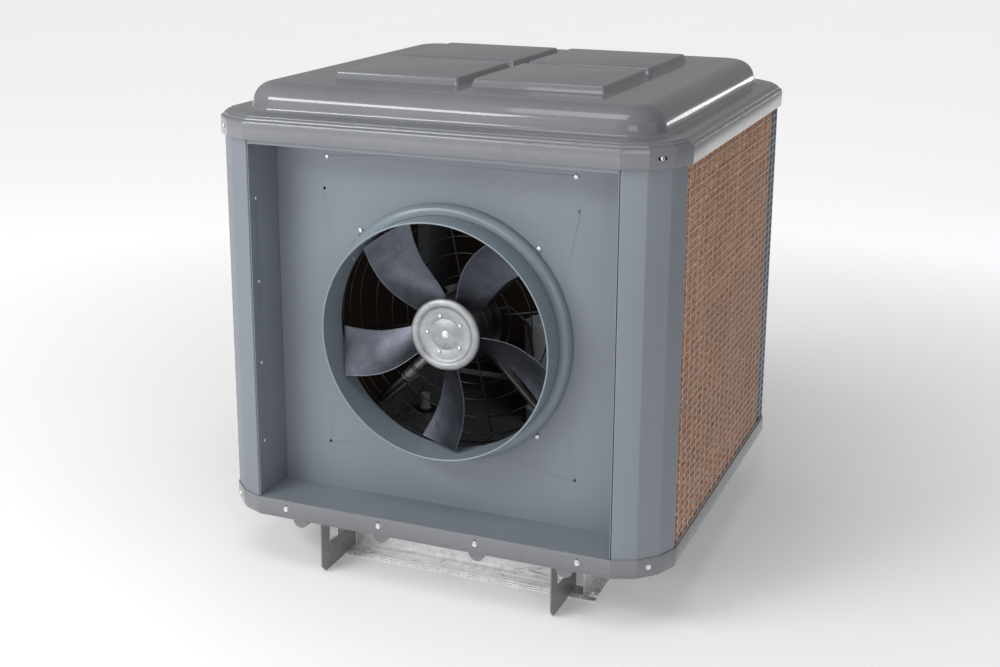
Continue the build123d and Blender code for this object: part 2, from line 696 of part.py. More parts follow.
CABLE_RUN = (
    (0, -320, AXIS_Z),
    (0, -270, AXIS_Z),
    (60, -205, 640),
    (110, -200, 600),
    (125, -210, 530),
    (140, -250, 470),
    (190, -300, 440),
    (330, -320, 310),
    (420, -380, CABLE_Z),
    (CABLE_X, -415, CABLE_Z),
    (CABLE_X, BOX_Y + BOX_D / 2 - 6, CABLE_Z),
)
with BuildPart() as motor_cable:
    with BuildLine():
        FilletPolyline(*CABLE_RUN, radius=12)
    with BuildSketch(Plane(origin=CABLE_RUN[0], z_dir=(0, 1, 0))):
        Circle(CABLE_R)
    sweep()
save(motor_cable.part, "motor_cable")

screws(
    [
        at(x, y, 2 * STEEL, (0, 0, 1))
        for x in (15 - BEAM_END_X, BEAM_END_X - 15)
        for y in (-(BEAM_WEB_Y + BEAM_FRONT_Y) / 2, (BEAM_WEB_Y + BEAM_FRONT_Y) / 2)
    ],
    6.5, 5.0, 4.0, 5.5, "cradle_bolts",
)

# ---------------------------------------------------------------- pump and pipes


def disc(x, y, z, radius, height, mode=Mode.ADD):
    """An upright cylinder that stands on height z."""
    with Locations((x, y, z)):
        Cylinder(radius, height, align=(Align.CENTER, Align.CENTER, Align.MIN), mode=mode)


VOLUTE_R, VOLUTE_Z, VOLUTE_H = 55.0, 137.0, 46.0
IMPELLER_R = 40.0
PUMP_SHAFT_R = 5.0
CAN_Z, CAN_H = 300.0, 140.0
RISER_X = 60.0
RISER_R = 12.5
SPIGOT_Z = 160.0
PIPE_END_Y = -430.0
with BuildPart() as pump_body:
    for x, y, z, radius, height in (
        (PUMP_X, PUMP_Y, VOLUTE_Z, VOLUTE_R, VOLUTE_H),
        (PUMP_X, PUMP_Y, VOLUTE_Z + VOLUTE_H, 20, CAN_Z - VOLUTE_Z - VOLUTE_H),
        (PUMP_X, PUMP_Y, CAN_Z, 60, CAN_H),
        (PUMP_X, PUMP_Y, CAN_Z + CAN_H, 48, 8),
        (PUMP_X - 46, PUMP_Y, FLOOR_Z, 6, VOLUTE_Z - FLOOR_Z),
        (PUMP_X + 23, PUMP_Y + 40, FLOOR_Z, 6, VOLUTE_Z - FLOOR_Z),
        (PUMP_X + 23, PUMP_Y - 40, FLOOR_Z, 6, VOLUTE_Z - FLOOR_Z),
    ):
        disc(x, y, z, radius, height)
    with Locations((PUMP_X + 45, PUMP_Y, SPIGOT_Z)):
        Cylinder(16, 60, rotation=(0, 90, 0))
    disc(PUMP_X, PUMP_Y, VOLUTE_Z + 6, 46, VOLUTE_H - 12, mode=Mode.SUBTRACT)
    disc(PUMP_X, PUMP_Y, VOLUTE_Z, 24, 10, mode=Mode.SUBTRACT)
    disc(PUMP_X, PUMP_Y, VOLUTE_Z, PUMP_SHAFT_R + RUNNING, CAN_Z + 60 - VOLUTE_Z, mode=Mode.SUBTRACT)
    with Locations((PUMP_X + 55, PUMP_Y, SPIGOT_Z)):
        Cylinder(RISER_R, 44, rotation=(0, 90, 0), mode=Mode.SUBTRACT)
save(pump_body.part, "pump_body")

with BuildPart() as pump_impeller:
    disc(PUMP_X, PUMP_Y, VOLUTE_Z + 14, IMPELLER_R, 3)
    disc(PUMP_X, PUMP_Y, VOLUTE_Z + 14, PUMP_SHAFT_R, 200)
    with Locations((PUMP_X, PUMP_Y, VOLUTE_Z + 22)):
        with PolarLocations(IMPELLER_R / 2, 6):
            Box(IMPELLER_R - 4, 3, 14)
save(pump_impeller.part, "pump_impeller")

with BuildPart() as riser_pipe:
    with BuildLine():
        riser_line = FilletPolyline(
            (PUMP_X + 55, PUMP_Y, SPIGOT_Z), (RISER_X, PUMP_Y, SPIGOT_Z), (RISER_X, PUMP_Y, PIPE_Z),
            (RISER_X, PIPE_XY - PIPE_R, PIPE_Z), radius=25,
        )
    with BuildSketch(Plane(origin=(PUMP_X + 55, PUMP_Y, SPIGOT_Z), z_dir=(1, 0, 0))):
        Circle(RISER_R)
        Circle(RISER_R - 2.5, mode=Mode.SUBTRACT)
    sweep()
save(riser_pipe.part, "riser_pipe")

with BuildPart() as water_manifold:
    with BuildLine():
        FilletPolyline(
            (-PIPE_XY, PIPE_END_Y, PIPE_Z), (-PIPE_XY, PIPE_XY, PIPE_Z),
            (PIPE_XY, PIPE_XY, PIPE_Z), (PIPE_XY, PIPE_END_Y, PIPE_Z), radius=40,
        )
    with BuildSketch(Plane(origin=(-PIPE_XY, PIPE_END_Y, PIPE_Z), z_dir=(0, 1, 0))):
        Circle(PIPE_R)
    sweep()
save(water_manifold.part, "water_manifold")

# ---------------------------------------------------------------- float valve

PISTON_R = 4.0
NOSE_DROP = 4.0  # from the float arm's pivot down to the piston it presses
PIVOT_Y = FLOAT_Y + FLOAT_LEVER
HEAD_Z = 178.0
with BuildPart() as float_valve_body:
    disc(FLOAT_X, FLOAT_Y, 98, 10.5, 31)
    disc(FLOAT_X, FLOAT_Y, BASIN_Z - 6, 16, 5.9)
    disc(FLOAT_X, FLOAT_Y, FLOOR_Z, 16, 5)
    disc(FLOAT_X, FLOAT_Y, FLOOR_Z + 5, 9, HEAD_Z - FLOOR_Z - 5)
    disc(FLOAT_X, FLOAT_Y, HEAD_Z, 12, 20)
    with Locations((FLOAT_X, (FLOAT_Y + PIVOT_Y) / 2 + 4, HEAD_Z + 6)):
        Box(22, FLOAT_LEVER + 8, 12)
    for x in (FLOAT_X - 9, FLOAT_X + 9):
        with Locations((x, PIVOT_Y, FLOAT_PIVOT_Z - 9)):
            Box(4, 12, 30)
    disc(FLOAT_X, FLOAT_Y, 98, 6, HEAD_Z - 108, mode=Mode.SUBTRACT)
    disc(FLOAT_X, FLOAT_Y, HEAD_Z - 8, PISTON_R + RUNNING, 40, mode=Mode.SUBTRACT)
    with Locations((FLOAT_X, PIVOT_Y, FLOAT_PIVOT_Z)):
        Cylinder(2 + RUNNING, 40, rotation=(0, 90, 0), mode=Mode.SUBTRACT)
save(float_valve_body.part, "float_valve_body")

with BuildPart() as float_valve_piston:
    disc(FLOAT_X, FLOAT_Y, HEAD_Z - 5, PISTON_R, FLOAT_PIVOT_Z - NOSE_DROP - HEAD_Z + 5)
save(float_valve_piston.part, "float_valve_piston")

BALL_Y = PIVOT_Y + FLOAT_ARM
with BuildPart() as float_arm:
    with Locations((FLOAT_X, PIVOT_Y, FLOAT_PIVOT_Z)):
        Cylinder(2, 24, rotation=(0, 90, 0))
        Cylinder(5, 13, rotation=(0, 90, 0))
    with Locations((FLOAT_X, (FLOAT_Y + PIVOT_Y) / 2 - 2, FLOAT_PIVOT_Z)):
        Box(8, FLOAT_LEVER + 4, 6)
    with BuildLine(Plane.YZ.offset(FLOAT_X)):
        FilletPolyline(
            (PIVOT_Y, FLOAT_PIVOT_Z), (BALL_Y - 60, FLOAT_PIVOT_Z), (BALL_Y - BALL_R + 3, BALL_Z), radius=20,
        )
    with BuildSketch(Plane(origin=(FLOAT_X, PIVOT_Y, FLOAT_PIVOT_Z), z_dir=(0, 1, 0))):
        Circle(2.5)
    sweep()
save(float_arm.part, "float_arm")

with BuildPart() as float_ball:
    with Locations((FLOAT_X, BALL_Y, BALL_Z)):
        Sphere(BALL_R)
    add(float_arm.part, mode=Mode.SUBTRACT)
save(float_ball.part, "float_ball")

# ---------------------------------------------------------------- drain

STANDPIPE_TOP = 180.0
with BuildPart() as drain_body:
    disc(DRAIN_X, DRAIN_Y, FLOOR_Z, 32, 5)
    disc(DRAIN_X, DRAIN_Y, BASIN_Z - 5, 21.9, FLOOR_Z - BASIN_Z + 5)
    disc(DRAIN_X, DRAIN_Y, 92, 20, BASIN_Z - 92)
    disc(DRAIN_X, DRAIN_Y, 92, DRAIN_R - 2, 60, mode=Mode.SUBTRACT)
    disc(DRAIN_X, DRAIN_Y, 112, DRAIN_R + RUNNING, 60, mode=Mode.SUBTRACT)
save(drain_body.part, "drain_body")

with BuildPart() as standpipe:
    disc(DRAIN_X, DRAIN_Y, 112.5, DRAIN_R, STANDPIPE_TOP - 112.5)
    disc(DRAIN_X, DRAIN_Y, FLOOR_Z + 5.5, DRAIN_R + 3, 4)
    disc(DRAIN_X, DRAIN_Y, 100, DRAIN_R - 3, 100, mode=Mode.SUBTRACT)
save(standpipe.part, "standpipe")
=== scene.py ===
"""Looks for the side-discharge evaporative cooler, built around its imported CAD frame.

Shapes are in millimetres and go through MM; the stage, lights and camera are in metres.
The outlet faces -Y, +X is to the right when facing it, and the floor is at z = 0.
"""

import math

import bmesh
import bpy
from mathutils import Matrix, Vector


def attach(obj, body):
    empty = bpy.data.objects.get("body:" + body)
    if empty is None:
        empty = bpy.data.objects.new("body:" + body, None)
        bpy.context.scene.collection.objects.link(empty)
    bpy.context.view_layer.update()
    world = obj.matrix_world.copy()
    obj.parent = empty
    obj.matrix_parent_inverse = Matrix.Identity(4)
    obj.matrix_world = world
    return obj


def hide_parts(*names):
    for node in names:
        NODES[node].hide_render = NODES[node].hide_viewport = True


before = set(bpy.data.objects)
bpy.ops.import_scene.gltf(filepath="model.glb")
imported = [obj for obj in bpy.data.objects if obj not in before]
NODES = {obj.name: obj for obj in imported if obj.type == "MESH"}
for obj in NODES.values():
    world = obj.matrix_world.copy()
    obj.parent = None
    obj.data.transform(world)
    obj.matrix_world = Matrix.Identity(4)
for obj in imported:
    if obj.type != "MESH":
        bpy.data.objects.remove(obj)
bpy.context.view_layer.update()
MM = 0.001
FAN_Z = 635.0  # height of the fan's axis

# ------------------------------------------------------------------ shader helpers


class Nodes:
    """A small wrapper that builds a material's node tree."""

    def __init__(self, name, **values):
        self.mat = bpy.data.materials.new(name)
        self.mat.use_nodes = True
        self.tree = self.mat.node_tree
        self.shader = self.tree.nodes["Principled BSDF"]
        for key, value in values.items():
            self.shader.inputs[key.replace("_", " ")].default_value = value
        self.object = self.add("ShaderNodeTexCoord").outputs["Object"]

    def add(self, kind, **props):
        node = self.tree.nodes.new(kind)
        for key, value in props.items():
            setattr(node, key, value)
        return node

    def link(self, a, b):
        self.tree.links.new(a, b)

    def scaled(self, x, y, z):
        """Object coordinates stretched along the axes."""
        node = self.add("ShaderNodeMapping")
        node.inputs["Scale"].default_value = (x, y, z)
        self.link(self.object, node.inputs["Vector"])
        return node.outputs["Vector"]

    def noise(self, scale, detail=4.0, rough=0.5, vector=None, distortion=0.0):
        node = self.add("ShaderNodeTexNoise")
        node.inputs["Scale"].default_value = scale
        node.inputs["Detail"].default_value = detail
        node.inputs["Roughness"].default_value = rough
        node.inputs["Distortion"].default_value = distortion
        self.link(vector or self.object, node.inputs["Vector"])
        return node.outputs["Fac"]

    def cells(self, scale):
        """A random colour for each cell of a Voronoi pattern."""
        node = self.add("ShaderNodeTexVoronoi")
        node.inputs["Scale"].default_value = scale
        self.link(self.object, node.inputs["Vector"])
        return node.outputs["Color"]

    def ramp(self, factor, *stops):
        """Colour ramp; each stop is (position, grey or colour)."""
        node = self.add("ShaderNodeValToRGB")
        elements = node.color_ramp.elements
        while len(elements) < len(stops):
            elements.new(0.5)
        for element, (position, value) in zip(elements, stops):
            element.position = position
            colour = value if isinstance(value, tuple) else (value, value, value)
            element.color = (*colour, 1.0)
        self.link(factor, node.inputs["Fac"])
        return node.outputs["Color"]

    def mix(self, factor, a, b, blend="MIX"):
        node = self.add("ShaderNodeMix", data_type="RGBA", blend_type=blend)
        for socket, value in ((node.inputs[0], factor), (node.inputs[6], a), (node.inputs[7], b)):
            if isinstance(value, (int, float)):
                socket.default_value = value
            elif isinstance(value, tuple):
                socket.default_value = (*value, 1.0)
            else:
                self.link(value, socket)
        return node.outputs[2]

    def span(self, factor, low, high):
        """Maps a factor from 0..1 to low..high."""
        node = self.add("ShaderNodeMapRange")
        node.inputs["To Min"].default_value = low
        node.inputs["To Max"].default_value = high
        self.link(factor, node.inputs["Value"])
        return node.outputs["Result"]

    def colour(self, output):
        self.link(output, self.shader.inputs["Base Color"])

    def rough(self, output):
        self.link(output, self.shader.inputs["Roughness"])

    def bump(self, height, distance, strength=1.0, under=None):
        node = self.add("ShaderNodeBump")
        node.inputs["Distance"].default_value = distance
        node.inputs["Strength"].default_value = strength
        self.link(height, node.inputs["Height"])
        if under is not None:
            self.link(under, node.inputs["Normal"])
        self.link(node.outputs["Normal"], self.shader.inputs["Normal"])
        return node.outputs["Normal"]


def srgb(r, g, b):
    """A linear colour from 8-bit display values."""

    def one(v):
        v = v / 255
        return v / 12.92 if v <= 0.04045 else ((v + 0.055) / 1.055) ** 2.4

    return tuple(one(v) for v in (r, g, b))


def shade(colour, k):
    """A colour made darker or lighter by a factor."""
    return tuple(c * k for c in colour)


# ------------------------------------------------------------------ materials


def paint(name, colour, rough=0.42):
    """Powder-coated sheet steel: fine orange peel and slight cloudiness."""
    m = Nodes(name, Specular_IOR_Level=0.45)
    cloud = m.noise(2.2, 3.0)
    m.colour(m.ramp(cloud, (0.3, shade(colour, 0.94)), (0.7, shade(colour, 1.05))))
    m.rough(m.span(m.noise(18.0, 3.0), rough - 0.05, rough + 0.06))
    m.bump(m.noise(420.0, 2.0), 0.00012, 0.5)
    return m.mat


def moulding(name, colour):
    """Glossy moulded skin: smooth gel coat over faint waviness."""
    m = Nodes(name, Specular_IOR_Level=0.2, Coat_Weight=0.7, Coat_Roughness=0.05)
    cloud = m.noise(3.0, 4.0, 0.55)
    m.colour(m.ramp(cloud, (0.3, shade(colour, 0.93)), (0.7, shade(colour, 1.06))))
    m.rough(m.span(m.noise(9.0, 5.0), 0.22, 0.34))
    m.bump(m.noise(8.0, 2.0), 0.0006, 0.06)
    return m.mat


def galvanised(name, bright=0.78, marks=0.0, scale=70.0, metallic=0.92):
    """Hot-dip zinc: spangle cells of differing brightness, with optional handling marks."""
    m = Nodes(name, Metallic=metallic)
    spangle = m.cells(scale)
    grey = m.add("ShaderNodeRGBToBW")
    m.link(spangle, grey.inputs["Color"])
    base = m.ramp(grey.outputs["Val"], (0.15, bright * 0.82), (0.85, bright))
    if marks:
        streak = m.noise(16.0, 6.0, 0.7, m.scaled(0.5, 1.0, 2.0), 0.6)
        spots = m.ramp(streak, (0.60, 1.0), (0.70, 1.0 - marks))
        base = m.mix(1.0, base, spots, "MULTIPLY")
    m.colour(base)
    m.rough(m.span(grey.outputs["Val"], 0.28, 0.46))
    m.bump(m.noise(60.0, 3.0), 0.0003, 0.35)
    return m.mat


def cast_metal(name, colour, metallic, low, high, grain=120.0, depth=0.0004):
    """Cast surface: soft blotches and a fine grain."""
    m = Nodes(name, Metallic=metallic)
    blotch = m.noise(26.0, 5.0, 0.6, distortion=0.6)
    m.colour(m.ramp(blotch, (0.35, shade(colour, 0.78)), (0.65, shade(colour, 1.15))))
    m.rough(m.span(blotch, low, high))
    fine = m.bump(m.noise(grain, 4.0, 0.6), depth, 0.5)
    m.bump(m.noise(30.0, 3.0), 0.0008, 0.25, fine)
    return m.mat


def pad_paper(name):
    """Resin-treated cellulose: orange-brown, with larger darker blotches and a fine mottle."""
    m = Nodes(name, Roughness=0.85, Specular_IOR_Level=0.25)
    low = m.noise(9.0, 4.0, 0.6)
    fine = m.noise(160.0, 4.0, 0.7)
    tone = m.ramp(fine, (0.30, srgb(150, 98, 68)), (0.5, srgb(236, 178, 138)), (0.72, srgb(255, 228, 204)))
    m.colour(m.mix(m.ramp(low, (0.4, 0.0), (0.7, 0.35)), tone, srgb(164, 118, 88)))
    m.bump(m.noise(500.0, 3.0), 0.0004, 0.6)
    return m.mat


def plastic(name, colour, rough=0.5, grain=300.0):
    """Moulded plastic or rubber with a fine grain."""
    m = Nodes(name, Specular_IOR_Level=0.45)
    m.colour(m.ramp(m.noise(5.0, 3.0), (0.3, shade(colour, 0.93)), (0.7, shade(colour, 1.06))))
    m.rough(m.span(m.noise(20.0, 3.0), rough - 0.07, rough + 0.07))
    m.bump(m.noise(grain, 3.0), 0.00015, 0.5)
    return m.mat


def brass_rod(name):
    """Drawn brass, streaked along the rod."""
    m = Nodes(name, Metallic=1.0)
    m.colour(m.ramp(m.noise(40.0, 4.0), (0.3, (0.50, 0.34, 0.13)), (0.7, (0.80, 0.60, 0.28))))
    m.rough(m.span(m.noise(90.0, 3.0), 0.22, 0.42))
    m.bump(m.noise(200.0, 2.0, vector=m.scaled(1, 0.05, 1)), 0.0002, 0.3)
    return m.mat


PAINT = paint("blue_grey_paint", srgb(119, 125, 133))
RING_PAINT = paint("ring_paint", srgb(122, 133, 141), 0.24)
MOULDING = moulding("grey_moulding", srgb(113, 115, 119))
GALVANISED = galvanised("galvanised_sheet", 0.93, 0.8, 70.0, 0.5)
PLATE = galvanised("galvanised_plate", 0.30, 0.5, 70.0, 0.6)
WIRE = galvanised("galvanised_wire", 0.66, 0.0, 220.0)
ZINC = galvanised("zinc_plate", 0.82, 0.0, 600.0)
STRUT_ZINC = galvanised("zinc_tube", 0.42, 0.3, 90.0, 0.6)
HUB_METAL = cast_metal("cast_aluminium", (0.33, 0.34, 0.35), 0.8, 0.40, 0.56)
BLADE = cast_metal("blade_coating", srgb(86, 89, 98), 0.9, 0.30, 0.44, 90.0, 0.0006)
BLACK = paint("black_coating", (0.014, 0.014, 0.016), 0.30)
MOTOR_BLACK = cast_metal("motor_coating", (0.022, 0.022, 0.024), 0.0, 0.28, 0.42, 160.0)
PAD = pad_paper("pad_paper")
GREY_PLASTIC = plastic("grey_plastic", srgb(186, 189, 194))
WHITE_PLASTIC = plastic("white_plastic", srgb(225, 225, 220), 0.4)
BLACK_PLASTIC = plastic("black_plastic", srgb(32, 32, 34), 0.45)
RUBBER = plastic("cable_sheath", srgb(30, 30, 31), 0.6, 700.0)
BRASS = brass_rod("brass")
DARK = plastic("recess_shadow", (0.01, 0.01, 0.01), 0.8)
# Painted shade: the pads' core is near black to stand for the shade inside the unit, not the paper's own
# colour
PAD_CORE_PAINTED_SHADE = plastic("pad_inside_painted_shade", (0.030, 0.017, 0.011), 0.85, 120.0)

# ------------------------------------------------------------------ mesh helpers


def smooth_by_angle(mesh, degrees):
    mesh.polygons.foreach_set("use_smooth", [True] * len(mesh.polygons))
    mesh.set_sharp_from_angle(angle=math.radians(degrees))


def piece(name, verts, faces, material, body, nodes=(), slot=None, angle=40, bevel=0.0):
    """A mesh from millimetre vertices that rides a body and stands for CAD nodes."""
    mesh = bpy.data.meshes.new(name)
    mesh.from_pydata([(x * MM, y * MM, z * MM) for x, y, z in verts], [], faces)
    bm = bmesh.new()
    bm.from_mesh(mesh)
    bmesh.ops.remove_doubles(bm, verts=bm.verts, dist=1e-6)
    bmesh.ops.recalc_face_normals(bm, faces=bm.faces)
    bm.to_mesh(mesh)
    bm.free()
    mesh.materials.append(material)
    smooth_by_angle(mesh, angle)
    obj = bpy.data.objects.new(name, mesh)
    bpy.context.scene.collection.objects.link(obj)
    if bevel:
        soften(obj, bevel)
    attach(obj, body)
    if nodes:
        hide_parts(*nodes)


def soften(obj, width):
    """Rounds an object's edges with a bevel modifier."""
    mod = obj.modifiers.new("soft_edges", "BEVEL")
    mod.width = width * MM
    mod.segments = 2
    mod.limit_method = "ANGLE"
    mod.angle_limit = math.radians(28)
    mod.harden_normals = True
    mod.use_clamp_overlap = True


def refine(node, material, width=0.5):
    """A CAD node that stays: welded, edge-rounded and given its material."""
    obj = NODES[node]
    weld = obj.modifiers.new("weld", "WELD")
    weld.merge_threshold = 1e-5
    if width:
        soften(obj, width)
    for slot in obj.material_slots:
        slot.material = material


class Build:
    """Collects vertices and faces of several shapes into one mesh."""

    def __init__(self):
        self.verts = []
        self.faces = []

    def add(self, verts, faces):
        """Adds a shape whose faces count its own vertices from zero."""
        start = len(self.verts)
        self.verts += verts
        self.faces += [tuple(i + start for i in f) for f in faces]

    def loft(self, loops, close_start=False, close_end=False, ring=False):
        """Joins closed loops of equal length; ring joins the last loop to the first."""
        n = len(loops[0])
        verts = [p for loop in loops for p in loop]
        faces = []
        pairs = [(k, k + 1) for k in range(len(loops) - 1)]
        if ring:
            pairs.append((len(loops) - 1, 0))
        for a, b in pairs:
            for i in range(n):
                j = (i + 1) % n
                faces.append((a * n + i, a * n + j, b * n + j, b * n + i))
        if close_start:
            faces.append(tuple(range(n)))
        if close_end:
            faces.append(tuple(range((len(loops) - 1) * n, len(loops) * n)))
        self.add(verts, faces)

    def tube(self, path, radius, sides=10, closed=False):
        """A round rod along a path of millimetre points; closed joins its ends."""
        points = [Vector(p) for p in path]
        count = len(points)
        loops = []
        up = None
        for k, p in enumerate(points):
            ahead = points[(k + 1) % count] if closed or k < count - 1 else p
            behind = points[k - 1] if closed or k else p
            along = (ahead - behind).normalized()
            if up is None:
                up = along.orthogonal().normalized()
            up = (up - along * up.dot(along)).normalized()
            side = along.cross(up)
            loops.append(
                [
                    tuple(p + (up * math.cos(a) + side * math.sin(a)) * radius)
                    for a in (2 * math.pi * i / sides for i in range(sides))
                ]
            )
        self.loft(loops, not closed, not closed, closed)

    def lathe(self, profile, steps):
        """Turns a closed profile of (radius, depth) about the fan's axis."""
        turns = [2 * math.pi * i / steps for i in range(steps)]
        self.loft([[on_fan(radius, depth, a) for a in turns] for radius, depth in profile], ring=True)

    def piece(self, name, material, body, **extra):
        """Makes the collected shapes one piece; extra goes to piece()."""
        piece(name, self.verts, self.faces, material, body, **extra)


def on_fan(radius, depth, angle):
    """A point at a radius and an angle in radians round the fan's axis."""
    return (radius * math.cos(angle), depth, FAN_Z + radius * math.sin(angle))


def arc(cx, cy, radius, start, end, steps):
    """Points on an arc in a plane, in degrees, both ends included."""
    angles = [math.radians(start + (end - start) * k / steps) for k in range(steps + 1)]
    return [(cx + radius * math.cos(a), cy + radius * math.sin(a)) for a in angles]


def rounded(points, radius, steps=4, closed=False):
    """A polyline whose corners are rounded to a radius."""
    out = []
    count = len(points)
    for k in range(count):
        if not closed and k in (0, count - 1):
            out.append(tuple(points[k]))
            continue
        p = Vector(points[k])
        a = (Vector(points[k - 1]) - p).normalized()
        b = (Vector(points[(k + 1) % count]) - p).normalized()
        half = a.angle(b) / 2
        reach = radius / math.tan(half)
        middle = p + (a + b).normalized() * (radius / math.sin(half))
        start, end = p + a * reach, p + b * reach
        u, v = start - middle, end - middle
        sweep = u.angle(v)
        for s in range(steps + 1):
            t = s / steps
            swung = u * math.sin((1 - t) * sweep) + v * math.sin(t * sweep)
            out.append(tuple(middle + swung / math.sin(sweep)))
    return out


# ------------------------------------------------------------------ cabinet outline

HALF = 575.0  # half of the cabinet's width
BEND_START = 455.0  # where a corner's first bend starts
TURN = 22.5  # degrees between the facets of a corner
BEND_STEPS, SIDE_STEPS = 4, 4
CORNERS = (0, 90, 180, 270)


def corner_points(inset):
    """The front-right corner's four bends."""
    side = HALF - inset
    start = BEND_START - inset * math.tan(math.radians(TURN / 2))
    facet = (side - start) / sum(math.cos(math.radians(k * TURN)) for k in (1, 2, 3))
    points = [(start, -side)]
    for k in (1, 2, 3):
        x, y = points[-1]
        turn = math.radians(k * TURN)
        points.append((x + facet * math.cos(turn), y + facet * math.sin(turn)))
    return points


def around(corner):
    """Repeats one corner's points round the square, with extra points along the sides."""
    loop = []
    here = list(corner)
    for _ in range(4):
        turned = [(-y, x) for x, y in here]
        loop += here
        (x0, y0), (x1, y1) = here[-1], turned[0]
        for k in range(1, SIDE_STEPS + 1):
            t = k / (SIDE_STEPS + 1)
            loop.append((x0 + (x1 - x0) * t, y0 + (y1 - y0) * t))
        here = turned
    return loop


def plan_loop(inset, z, radius=9.0):
    """The cabinet outline at a height, with softened bends."""
    points = corner_points(inset)
    before = (points[0][0] - 50, points[0][1])
    after = (points[-1][0], points[-1][1] + 50)
    bent = rounded([before, *points, after], radius, BEND_STEPS)[1:-1]
    return [(x, y, z) for x, y in around(bent)]


def round_loop(half, radius, z):
    """A rounded square with the same number of points as plan_loop."""
    count = 4 * (BEND_STEPS + 1)
    bent = arc(half - radius, radius - half, radius, -90, 0, count - 1)
    return [(x, y, z) for x, y in around(bent)]


# ------------------------------------------------------------------ roof cap

# The cap's edge, up from its underside: (inset from the cabinet's outline, height)
EAVES = (
    (-5.0, 1086.0), (-6.0, 1087.0), (-6.0, 1125.5), (-5.4, 1128.6), (-3.8, 1130.4), (-1.5, 1131.2),
    (0.6, 1131.5), (1.6, 1132.1), (2.0, 1133.2), (2.0, 1135.4), (2.5, 1136.6), (3.8, 1137.2),
    (8.6, 1137.8), (9.8, 1138.3), (10.3, 1139.2), (10.6, 1140.4), (11.6, 1141.3), (13.6, 1141.8),
)
SKIRT_INSIDE = ((7.0, 1129.0), (-2.0, 1126.0), (-2.0, 1087.0), (-3.0, 1086.0))
# The dome and one of the four raised panels on it: (half width, height)
DOME_SIDE = [(523.0, 1142.0), (518.5, 1142.6), (515.0, 1144.4), (512.8, 1147.4), (511.2, 1151.5)]
DOME_SIDE += arc(459.5, 1156.0, 50.0, 8, 90, 12)
DOME_HALF, DOME_CORNER = 512.0, 95.0
RAISED_SIDE = (
    (169.5, 1205.5), (167.2, 1206.3), (165.6, 1208.0), (160.9, 1221.0),
    (160.0, 1223.2), (158.2, 1224.6), (156.0, 1225.0),
)
RAISED_CENTRE, RAISED_CORNER = 179.5, 14.0
cap = Build()
loops = [plan_loop(inset, z) for inset, z in (*SKIRT_INSIDE, *EAVES)]
loops += [round_loop(half, DOME_CORNER - (DOME_HALF - half), z) for half, z in DOME_SIDE]
cap.loft(loops, True, True)
for cx in (-RAISED_CENTRE, RAISED_CENTRE):
    for cy in (-RAISED_CENTRE, RAISED_CENTRE):
        side = []
        for half, z in RAISED_SIDE:
            corner = max(5.0, RAISED_CORNER - (RAISED_SIDE[0][0] - half) * 0.5)
            side.append([(x + cx, y + cy, z) for x, y, z in round_loop(half, corner, z)])
        cap.loft(side, False, True)
cap.piece("roof_cap_shell", MOULDING, "cabinet", nodes=("roof_cap",), slot="grey_moulding", angle=50)

# ------------------------------------------------------------------ tank

# The rim and the basin's outside, then the basin's inside: (inset, height)
TANK_OUTSIDE = (
    (56.0, 193.0), (4.0, 193.0), (2.8, 193.2), (2.6, 194.2), (2.2, 194.8), (1.4, 195.0), (0.5, 194.6),
    (0.0, 193.6), (0.0, 158.5), (0.6, 156.4), (2.0, 155.2), (4.0, 154.8), (4.0, 149.0), (4.8, 147.4),
    (6.5, 147.0), (8.2, 147.4), (9.0, 149.0), (9.0, 188.0), (52.0, 188.0), (52.0, 128.0),
    (54.0, 125.6), (57.0, 125.0),
)
TANK_INSIDE = ((56.0, 193.0), (56.0, 132.0), (59.0, 129.0))
LOBE_R, LOBE_Z, LOBE_TOP = 20.0, 147.0, 188.0
tank = Build()
for section in (TANK_OUTSIDE, TANK_INSIDE):
    tank.loft([plan_loop(inset, z, 8.0) for inset, z in section], False, True)
for x in (-343.0, -125.0, 125.0, 343.0):
    lobe = [(x - LOBE_R, LOBE_TOP)] + arc(x, LOBE_Z, LOBE_R, 180, 360, 16) + [(x + LOBE_R, LOBE_TOP)]
    for s in (-1, 1):
        tank.loft([[(px, s * depth, pz) for px, pz in lobe] for depth in (566.0, 523.0)], True, True)
tank.piece("water_tank", MOULDING, "cabinet", nodes=("base_tank",), slot="grey_moulding", angle=35)

# ------------------------------------------------------------------ corner posts

POST_LOW, POST_HIGH, POST_T = 193.2, 1127.0, 2.5


def ribbon(build, path, thickness, low, high):
    """A folded sheet that follows an open path, thickened to its left."""
    inner = []
    for k, (x, y) in enumerate(path):
        along = Vector(path[min(k + 1, len(path) - 1)]) - Vector(path[max(k - 1, 0)])
        along.normalize()
        inner.append((x - along.y * thickness, y + along.x * thickness))
    outline = list(path) + inner[::-1]
    build.loft([[(x, y, z) for x, y in outline] for z in (low, high)], True, True)


def post_path(rear):
    """A post's folds in plan; a rear post also turns in along the pads."""
    outer = corner_points(3.0)
    near, edge = outer[3]
    tail = [(near - 12, edge), (near - 12, edge + 50)] if rear else [(near - 40, edge)]
    tail = [(near, edge), *tail]
    head = [(-y, -x) for x, y in tail[::-1]]
    return head + outer[1:3] + tail


def post_piece(name, rear, flip_x, flip_y):
    """A corner post whose slight bends are rounded wide and whose sharp ones tight."""
    path = [Vector(p) for p in post_path(rear)]
    soft = [tuple(path[0])]
    for before, p, after in zip(path, path[1:], path[2:]):
        a, b = before - p, after - p
        radius = 8.0 if a.angle(b) > math.radians(150) else 3.0
        reach = 12 * (radius / 8.0) ** 0.2
        bend = [p + a.normalized() * reach, p, p + b.normalized() * reach]
        soft += rounded(bend, radius, BEND_STEPS)[1:-1]
    soft.append(tuple(path[-1]))
    build = Build()
    ribbon(build, soft, POST_T, POST_LOW, POST_HIGH)
    build.verts = [(x * flip_x, y * flip_y, z) for x, y, z in build.verts]
    build.piece(f"{name}_sheet", PAINT, "cabinet", nodes=(name,), slot="grey_paint", angle=25)


